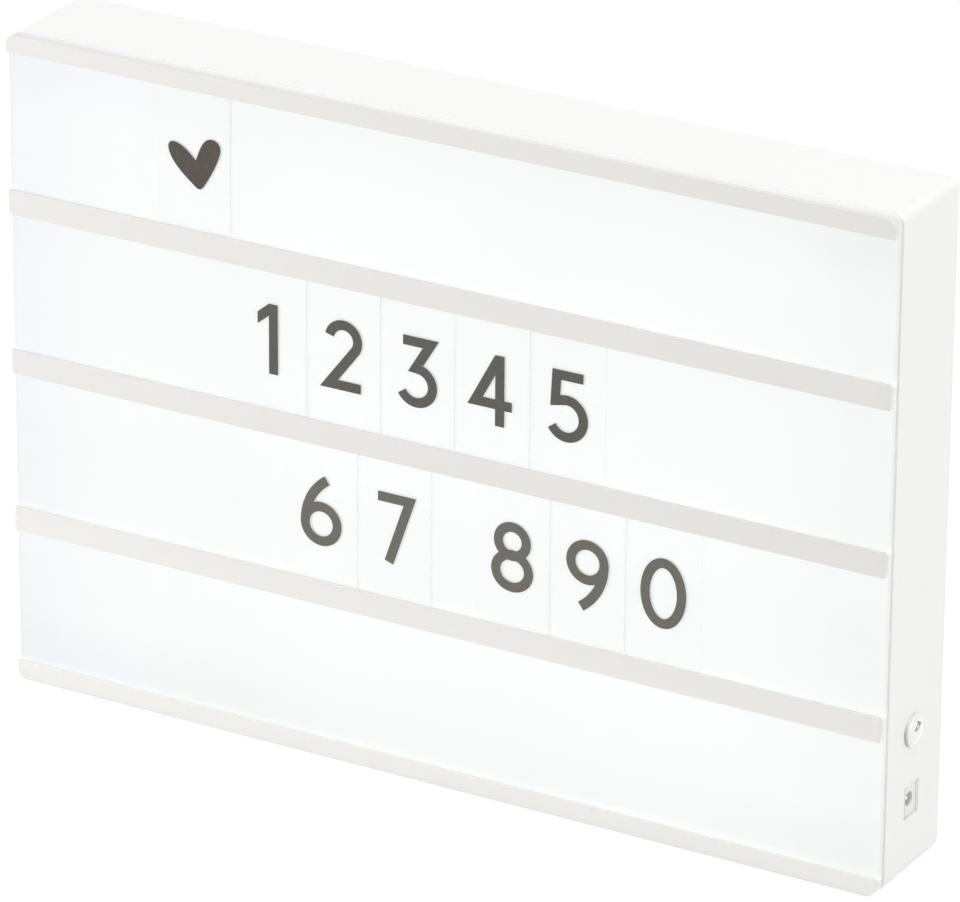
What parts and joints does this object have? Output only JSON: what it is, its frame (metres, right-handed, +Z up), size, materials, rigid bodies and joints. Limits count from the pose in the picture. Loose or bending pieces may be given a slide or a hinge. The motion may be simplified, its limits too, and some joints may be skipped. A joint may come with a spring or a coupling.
{
  "type": "cinema light box",
  "caption": "Shallow white light box with a lit milky front, rows of sliding letter cards held between T rails, a rocker switch and a low-voltage socket.",
  "frame": {"origin": "middle of the base, at half the depth of the box", "axes": "+Z up, -Y out of the lit front, +X to the right as seen from the front"},
  "size_m": [0.4262, 0.058, 0.3],
  "materials": {
    "housing_white": "fine moulded satin",
    "panel_milky": "milky, lit from behind",
    "rail_white": "satin",
    "card_clear": "clear sheet",
    "reflector_white": "matt sheet",
    "strip_board": "white solder mask",
    "light_package": "yellow phosphor under clear resin",
    "resistor_black": "matt",
    "wire_sleeve": "satin",
    "cell_wrap": "plain printed sleeve",
    "contact_steel": "nickel plated",
    "switch_white": "polished moulding",
    "rocker_white": "polished moulding",
    "terminal_metal": "tinned",
    "socket_white": "moulded"
  },
  "bodies": {
    "box": {"rail_top": "rail_white", "rail_upper": "rail_white", "rail_middle": "rail_white", "rail_lower": "rail_white", "rail_bottom": "rail_white", "light_strip_1": "strip_board", "light_strip_2": "strip_board", "light_strip_3": "strip_board", "light_strip_4": "strip_board", "battery_cell_1": "cell_wrap", "battery_cell_2": "cell_wrap", "battery_cell_3": "cell_wrap", "battery_cell_4": "cell_wrap", "battery_cell_5": "cell_wrap", "battery_cell_6": "cell_wrap", "rear_housing": "housing_white", "front_panel": "panel_milky", "reflector_sheet": "reflector_white", "light_packages": "light_package", "strip_resistors": "resistor_black", "strip_wires": "wire_sleeve", "contact_plates": "contact_steel", "contact_leaves": "contact_steel", "contact_links": "contact_steel", "switch_body": "switch_white", "switch_terminals": "terminal_metal", "dc_socket": "socket_white", "dc_centre_pin": "terminal_metal", "dc_contact": "terminal_metal", "dc_tails": "terminal_metal"},
    "rocker": {"switch_rocker": "rocker_white"},
    "door": {"battery_door": "housing_white"},
    "first_row_card": {"first_row_card": "card_clear"},
    "second_row_card_1": {"second_row_card_1": "card_clear"},
    "second_row_card_2": {"second_row_card_2": "card_clear"},
    "second_row_card_3": {"second_row_card_3": "card_clear"},
    "second_row_card_4": {"second_row_card_4": "card_clear"},
    "second_row_card_5": {"second_row_card_5": "card_clear"},
    "third_row_card_1": {"third_row_card_1": "card_clear"},
    "third_row_card_2": {"third_row_card_2": "card_clear"},
    "third_row_card_3": {"third_row_card_3": "card_clear"},
    "third_row_card_4": {"third_row_card_4": "card_clear"},
    "third_row_card_5": {"third_row_card_5": "card_clear"}
  },
  "joints": [
    {"name": "rocker_tilt", "type": "hinge", "parent": "box", "child": "rocker", "pos_m": [0.2124, 0.0003, 0.0651], "axis": [0, 1, 0], "range_deg": [-16, 0]},
    {"name": "door_hinge", "type": "hinge", "parent": "box", "child": "door", "pos_m": [0, 0.0272, 0.0671], "axis": [-1, 0, 0], "range_deg": [0, 90]},
    {"name": "first_row_card_slide", "type": "slide", "parent": "box", "child": "first_row_card", "axis": [1, 0, 0], "range_m": [-0.0734, 0.3112]},
    {"name": "second_row_card_1_slide", "type": "slide", "parent": "box", "child": "second_row_card_1", "axis": [1, 0, 0], "range_m": [-0.11, 0]},
    {"name": "second_row_card_2_slide", "type": "slide", "parent": "second_row_card_1", "child": "second_row_card_2", "axis": [1, 0, 0], "range_m": [0, 0.032]},
    {"name": "second_row_card_3_slide", "type": "slide", "parent": "second_row_card_2", "child": "second_row_card_3", "axis": [1, 0, 0], "range_m": [0, 0.032]},
    {"name": "second_row_card_4_slide", "type": "slide", "parent": "second_row_card_3", "child": "second_row_card_4", "axis": [1, 0, 0], "range_m": [0, 0.032]},
    {"name": "second_row_card_5_slide", "type": "slide", "parent": "second_row_card_4", "child": "second_row_card_5", "axis": [1, 0, 0], "range_m": [0, 0.032]},
    {"name": "third_row_card_1_slide", "type": "slide", "parent": "box", "child": "third_row_card_1", "axis": [1, 0, 0], "range_m": [-0.134, 0]},
    {"name": "third_row_card_2_slide", "type": "slide", "parent": "third_row_card_1", "child": "third_row_card_2", "axis": [1, 0, 0], "range_m": [0, 0.02]},
    {"name": "third_row_card_3_slide", "type": "slide", "parent": "box", "child": "third_row_card_3", "axis": [1, 0, 0], "range_m": [0, 0.028]},
    {"name": "third_row_card_4_slide", "type": "slide", "parent": "third_row_card_3", "child": "third_row_card_4", "axis": [1, 0, 0], "range_m": [0, 0.028]},
    {"name": "third_row_card_5_slide", "type": "slide", "parent": "third_row_card_4", "child": "third_row_card_5", "axis": [1, 0, 0], "range_m": [0, 0.028]}
  ]
}
